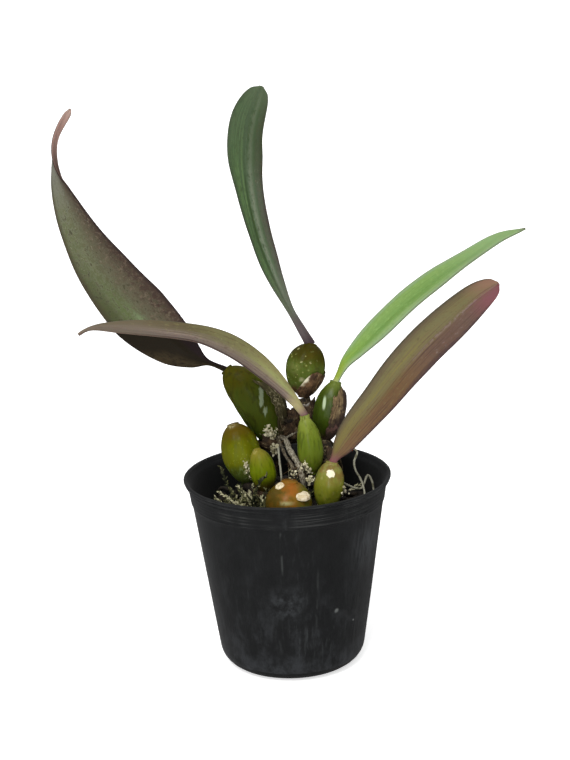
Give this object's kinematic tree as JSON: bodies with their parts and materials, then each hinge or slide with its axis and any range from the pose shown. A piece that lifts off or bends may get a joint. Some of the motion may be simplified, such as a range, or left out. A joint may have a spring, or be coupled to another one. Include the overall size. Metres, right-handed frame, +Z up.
{
  "type": "bulbophyllum orchid in a nursery pot",
  "caption": "Potted bulbophyllum orchid: a creeping rhizome with ovoid pseudobulbs, thick strap leaves, dry bracts and roots in bark, in a tapered thin black nursery pot.",
  "frame": {"origin": "centre of the pot's flat foot, on the surface it stands on", "axes": "+Z up along the pot's axis, +X to the plant's right as the fronts of the leaves are seen, +Y to its back"},
  "size_m": [0.2044, 0.09, 0.25],
  "materials": {
    "pot_plastic": "satin",
    "potting_medium": "matte",
    "rhizome": "matte",
    "pseudobulb_dark": "gloss",
    "pseudobulb_bright": "satin",
    "pseudobulb_olive": "satin",
    "pseudobulb_amber": "satin",
    "leaf_grey_green": "satin",
    "leaf_mid_green": "satin",
    "leaf_olive_purple": "satin",
    "leaf_bright_green": "satin",
    "leaf_olive_crimson": "satin",
    "dry_bract": "matte"
  },
  "bodies": {
    "root": {"pot": "pot_plastic", "potting_medium": "potting_medium", "rhizome": "rhizome", "pseudobulb_left_rear": "pseudobulb_dark", "pseudobulb_top": "pseudobulb_dark", "pseudobulb_right_rear": "pseudobulb_dark", "pseudobulb_front_green": "pseudobulb_bright", "pseudobulb_front_right": "pseudobulb_olive", "backbulb_left": "pseudobulb_olive", "backbulb_left_small": "pseudobulb_olive", "backbulb_front_stub": "pseudobulb_amber", "leaf_left_broad": "leaf_grey_green", "leaf_top": "leaf_mid_green", "leaf_arching": "leaf_olive_purple", "leaf_right_young": "leaf_bright_green", "leaf_right_front": "leaf_olive_crimson", "bract_left_rear": "dry_bract", "bract_top": "dry_bract", "bract_right_rear": "dry_bract"}
  },
  "joints": []
}
